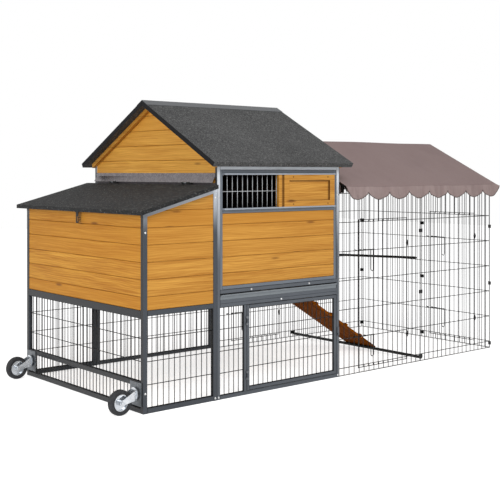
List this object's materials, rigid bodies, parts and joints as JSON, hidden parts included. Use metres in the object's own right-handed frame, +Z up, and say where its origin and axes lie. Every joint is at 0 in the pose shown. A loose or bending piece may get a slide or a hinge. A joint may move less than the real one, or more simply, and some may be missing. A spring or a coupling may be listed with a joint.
{
  "type": "chicken tractor",
  "caption": "Movable hen house of boards on a steel frame, with a lidded nest box end on casters and a gated wire run under a scalloped canopy.",
  "frame": {"origin": "on the ground, under the middle of the overall length and depth", "axes": "+X from the nest box end towards the far end of the run, +Y from the front to the back, +Z up"},
  "size_m": [3.0574, 1.3304, 1.5944],
  "materials": {
    "frame_paint": "satin",
    "panel_paint": "satin",
    "mesh_grey": "satin",
    "wall_wood": "satin",
    "floor_wood": "matte",
    "bar_paint": "satin",
    "roof_felt": "matte",
    "cap_metal": "satin",
    "zinc": "satin",
    "tray_metal": "satin",
    "ramp_wood": "satin",
    "tyre_rubber": "matte",
    "bolt_head": "satin",
    "black_wire": "satin",
    "canopy_cloth": "matte"
  },
  "bodies": {
    "coop": {"nest_frame": "frame_paint", "house_front_frame": "frame_paint", "house_back_frame": "frame_paint", "cross_rails": "frame_paint", "nest_meshes": "mesh_grey", "house_meshes": "mesh_grey", "nest_side_boards": "wall_wood", "nest_end_boards": "wall_wood", "floor_boards": "floor_wood", "nest_divider": "floor_wood", "left_wall": "wall_wood", "right_wall": "wall_wood", "back_wall": "wall_wood", "front_panel_frame": "panel_paint", "front_boards": "wall_wood", "window_bars": "bar_paint", "window_tracks": "bar_paint", "roof_front": "roof_felt", "roof_back": "roof_felt", "roof_rafters": "wall_wood", "ridge_cap": "cap_metal", "lid_flashing": "cap_metal", "fixed_hardware": "zinc", "tray_runners": "zinc", "roost_bars": "floor_wood", "caster_plates": "zinc", "frame_bolts": "bolt_head", "pen_front_door_panel": "black_wire", "pen_back_door_panel": "black_wire", "pen_end_door_panel": "black_wire", "pen_plain_panels": "black_wire", "panel_clips": "black_wire", "pen_bars": "black_wire", "canopy_frame": "black_wire", "canopy": "canopy_cloth"},
    "shutter": {"window_shutter": "wall_wood"},
    "tray": {"droppings_tray": "tray_metal"},
    "run_door": {"run_door_frame": "frame_paint", "run_door_mesh": "mesh_grey"},
    "door_button": {"run_door_button": "frame_paint"},
    "lid": {"nest_lid": "roof_felt"},
    "hasp": {"lid_hasp": "zinc"},
    "ramp": {"ramp_board": "ramp_wood", "ramp_cleats": "ramp_wood"},
    "front_fork": {"front_caster_fork": "zinc"},
    "front_wheel": {"front_wheel_hub": "zinc", "front_tyre": "tyre_rubber"},
    "back_fork": {"back_caster_fork": "zinc"},
    "back_wheel": {"back_wheel_hub": "zinc", "back_tyre": "tyre_rubber"},
    "front_gate": {"pen_front_door": "black_wire"},
    "back_gate": {"pen_back_door": "black_wire"},
    "end_gate": {"pen_end_door": "black_wire"},
    "front_bolt_upper": {"front_bolt_upper": "black_wire"},
    "front_bolt_lower": {"front_bolt_lower": "black_wire"},
    "back_bolt_upper": {"back_bolt_upper": "black_wire"},
    "back_bolt_lower": {"back_bolt_lower": "black_wire"},
    "end_bolt_upper": {"end_bolt_upper": "black_wire"},
    "end_bolt_lower": {"end_bolt_lower": "black_wire"}
  },
  "joints": [
    {"name": "shutter_slide", "type": "slide", "parent": "coop", "child": "shutter", "axis": [-1, 0, 0], "range_m": [0, 0.375]},
    {"name": "tray_slide", "type": "slide", "parent": "coop", "child": "tray", "axis": [0, -1, 0], "range_m": [0, 0.9]},
    {"name": "run_door_hinge", "type": "hinge", "parent": "coop", "child": "run_door", "pos_m": [-0.71, -0.6154, 0.25], "axis": [0, 0, 1], "range_deg": [-105, 0]},
    {"name": "door_button_turn", "type": "hinge", "parent": "coop", "child": "door_button", "pos_m": [-0.02425, -0.612, 0.25], "axis": [0, 1, 0], "range_deg": [-90, 0]},
    {"name": "lid_hinge", "type": "hinge", "parent": "coop", "child": "lid", "pos_m": [-0.93725, 0, 1.12908], "axis": [0, 1, 0], "range_deg": [0, 55]},
    {"name": "hasp_hinge", "type": "hinge", "parent": "lid", "child": "hasp", "pos_m": [-1.38725, 0, 0.97579], "axis": [0, 1, 0], "range_deg": [-6, 80]},
    {"name": "ramp_hinge", "type": "hinge", "parent": "coop", "child": "ramp", "pos_m": [-0.00685, -0.06532, 0.488], "axis": [0, -1, 0], "range_deg": [0, 60]},
    {"name": "front_caster_swivel", "type": "hinge", "parent": "coop", "child": "front_fork", "pos_m": [-1.38125, -0.548, 0.093], "axis": [1, 0, 0], "continuous": true},
    {"name": "front_wheel_spin", "type": "hinge", "parent": "front_fork", "child": "front_wheel", "pos_m": [-1.46625, -0.548, 0.0625], "axis": [0, 1, 0], "continuous": true},
    {"name": "back_caster_swivel", "type": "hinge", "parent": "coop", "child": "back_fork", "pos_m": [-1.38125, 0.548, 0.093], "axis": [1, 0, 0], "continuous": true},
    {"name": "back_wheel_spin", "type": "hinge", "parent": "back_fork", "child": "back_wheel", "pos_m": [-1.46625, 0.548, 0.0625], "axis": [0, 1, 0], "continuous": true},
    {"name": "front_gate_hinge", "type": "hinge", "parent": "coop", "child": "front_gate", "pos_m": [0.58261, -0.61575, 0.47], "axis": [0, 0, 1], "range_deg": [0, 110]},
    {"name": "back_gate_hinge", "type": "hinge", "parent": "coop", "child": "back_gate", "pos_m": [0.58261, 0.57875, 0.47], "axis": [0, 0, 1], "range_deg": [-110, 0]},
    {"name": "end_gate_hinge", "type": "hinge", "parent": "coop", "child": "end_gate", "pos_m": [1.4415, -0.48331, 0.47], "axis": [0, 0, 1], "range_deg": [-110, 0]},
    {"name": "front_bolt_upper_slide", "type": "slide", "parent": "front_gate", "child": "front_bolt_upper", "axis": [-1, 0, 0], "range_m": [0, 0.04]},
    {"name": "front_bolt_lower_slide", "type": "slide", "parent": "front_gate", "child": "front_bolt_lower", "axis": [-1, 0, 0], "range_m": [0, 0.04]},
    {"name": "back_bolt_upper_slide", "type": "slide", "parent": "back_gate", "child": "back_bolt_upper", "axis": [-1, 0, 0], "range_m": [0, 0.04]},
    {"name": "back_bolt_lower_slide", "type": "slide", "parent": "back_gate", "child": "back_bolt_lower", "axis": [-1, 0, 0], "range_m": [0, 0.04]},
    {"name": "end_bolt_upper_slide", "type": "slide", "parent": "end_gate", "child": "end_bolt_upper", "axis": [0, 1, 0], "range_m": [0, 0.04]},
    {"name": "end_bolt_lower_slide", "type": "slide", "parent": "end_gate", "child": "end_bolt_lower", "axis": [0, 1, 0], "range_m": [0, 0.04]}
  ]
}
